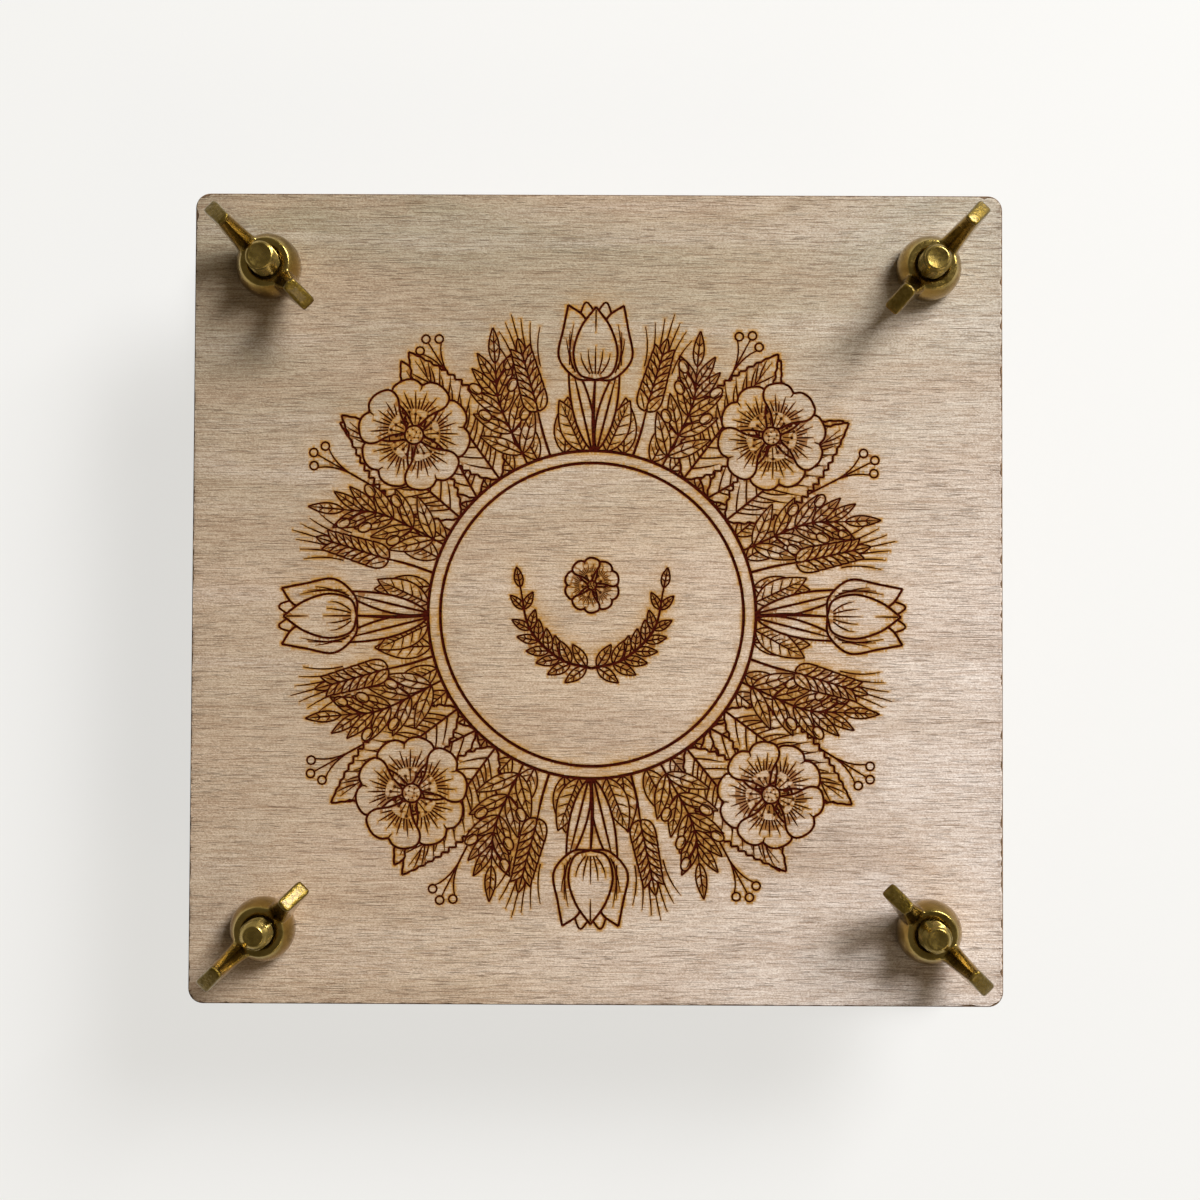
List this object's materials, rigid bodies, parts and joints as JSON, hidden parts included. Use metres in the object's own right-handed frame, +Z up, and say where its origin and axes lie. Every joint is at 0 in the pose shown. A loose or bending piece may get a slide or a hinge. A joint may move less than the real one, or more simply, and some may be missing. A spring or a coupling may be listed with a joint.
{
  "type": "flower press",
  "caption": "Square plywood flower press: engraved top board and plain bottom board clamped by carriage bolts and brass wing nuts over corrugated cards and blotting sheets.",
  "frame": {"origin": "under the middle of the press, level with the crowns of the bolt heads that it stands on", "axes": "+Z up through the stack of boards; +X to the right along the top board's grain; +Y to the back"},
  "size_m": [0.165, 0.165, 0.0566],
  "materials": {
    "plywood": "raw sanded birch plywood",
    "nut_brass": "cast and tumbled brass",
    "bolt_brass": "machined brass",
    "corrugated_card": "kraft board",
    "blotting_paper": "uncoated, felted"
  },
  "bodies": {
    "base": {"bottom_board": "plywood", "carriage_bolt_1": "bolt_brass", "carriage_bolt_2": "bolt_brass", "carriage_bolt_3": "bolt_brass", "carriage_bolt_4": "bolt_brass", "card_1": "corrugated_card", "card_2": "corrugated_card", "card_3": "corrugated_card", "card_4": "corrugated_card", "card_5": "corrugated_card", "card_6": "corrugated_card", "blotter_1": "blotting_paper", "blotter_2": "blotting_paper", "blotter_3": "blotting_paper", "blotter_4": "blotting_paper", "blotter_5": "blotting_paper", "blotter_6": "blotting_paper", "blotter_7": "blotting_paper", "blotter_8": "blotting_paper", "blotter_9": "blotting_paper", "blotter_10": "blotting_paper"},
    "top_board": {"top_board": "plywood"},
    "wing_nut_1": {"wing_nut_1": "nut_brass"},
    "wing_nut_2": {"wing_nut_2": "nut_brass"},
    "wing_nut_3": {"wing_nut_3": "nut_brass"},
    "wing_nut_4": {"wing_nut_4": "nut_brass"}
  },
  "joints": [
    {"name": "top_board_lift", "type": "slide", "parent": "base", "child": "top_board", "axis": [0, 0, 1], "range_m": [0, 0.011]},
    {"name": "wing_nut_1_turn", "type": "hinge", "parent": "top_board", "child": "wing_nut_1", "pos_m": [-0.0671, -0.0671, 0.0401], "axis": [0, 0, 1], "range_deg": [0, 3960]},
    {"name": "wing_nut_2_turn", "type": "hinge", "parent": "top_board", "child": "wing_nut_2", "pos_m": [0.0671, -0.0671, 0.0401], "axis": [0, 0, 1], "range_deg": [0, 3960]},
    {"name": "wing_nut_3_turn", "type": "hinge", "parent": "top_board", "child": "wing_nut_3", "pos_m": [0.0671, 0.0671, 0.0401], "axis": [0, 0, 1], "range_deg": [0, 3960]},
    {"name": "wing_nut_4_turn", "type": "hinge", "parent": "top_board", "child": "wing_nut_4", "pos_m": [-0.0671, 0.0671, 0.0401], "axis": [0, 0, 1], "range_deg": [0, 3960]}
  ],
  "couplings": [
    {"joint": "wing_nut_1_turn", "follows": "top_board_lift", "rad_per_m": 6283.2},
    {"joint": "wing_nut_2_turn", "follows": "top_board_lift", "rad_per_m": 6283.2},
    {"joint": "wing_nut_3_turn", "follows": "top_board_lift", "rad_per_m": 6283.2},
    {"joint": "wing_nut_4_turn", "follows": "top_board_lift", "rad_per_m": 6283.2}
  ]
}
